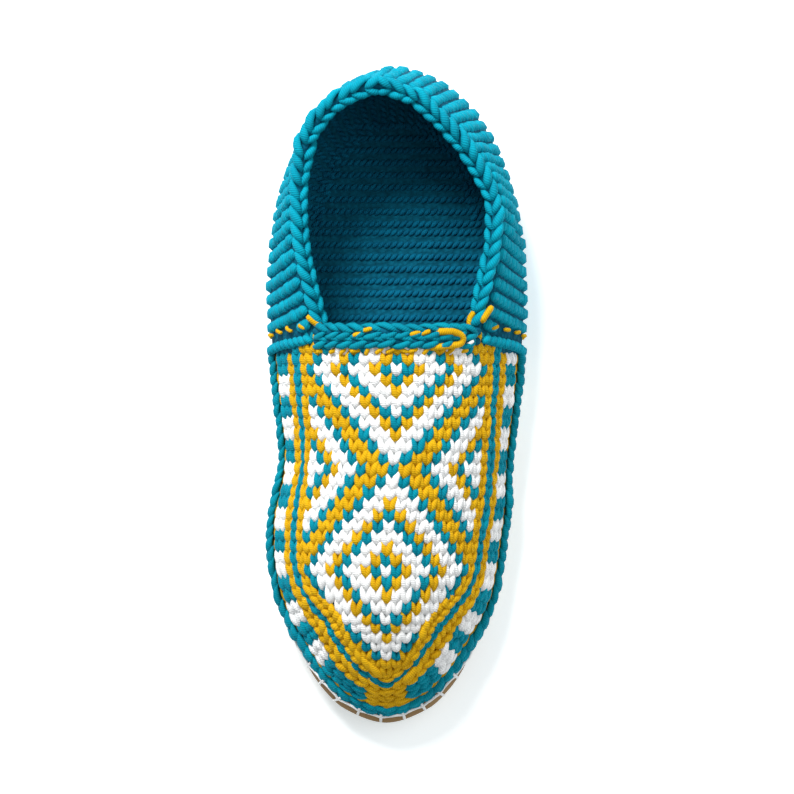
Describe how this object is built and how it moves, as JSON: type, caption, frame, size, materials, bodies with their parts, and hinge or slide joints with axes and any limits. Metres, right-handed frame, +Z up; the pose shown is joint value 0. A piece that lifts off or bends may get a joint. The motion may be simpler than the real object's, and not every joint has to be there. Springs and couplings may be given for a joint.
{
  "type": "crochet slipper",
  "caption": "Knitted slipper with a patterned toe tube, a garter heel part open at the collar, and suede patches under forefoot and heel.",
  "frame": {"origin": "middle of the slipper's bounding box on the floor it stands on", "axes": "+Z up, -Y to the toe, +Y to the heel, +X to the wearer's right-hand side when the toe points away"},
  "size_m": [0.0982, 0.245, 0.0583],
  "materials": {
    "knitting": "teal wool yarn, knitted, with white and gold colourwork on the toe half",
    "edging": "teal wool yarn, crocheted chain",
    "suede": "tan brown suede with a soft nap"
  },
  "bodies": {
    "root": {"upper": "knitting", "join_ridge": "edging", "collar_edging": "edging", "throat_edging": "edging", "forefoot_patch": "suede", "heel_patch": "suede"}
  },
  "joints": []
}
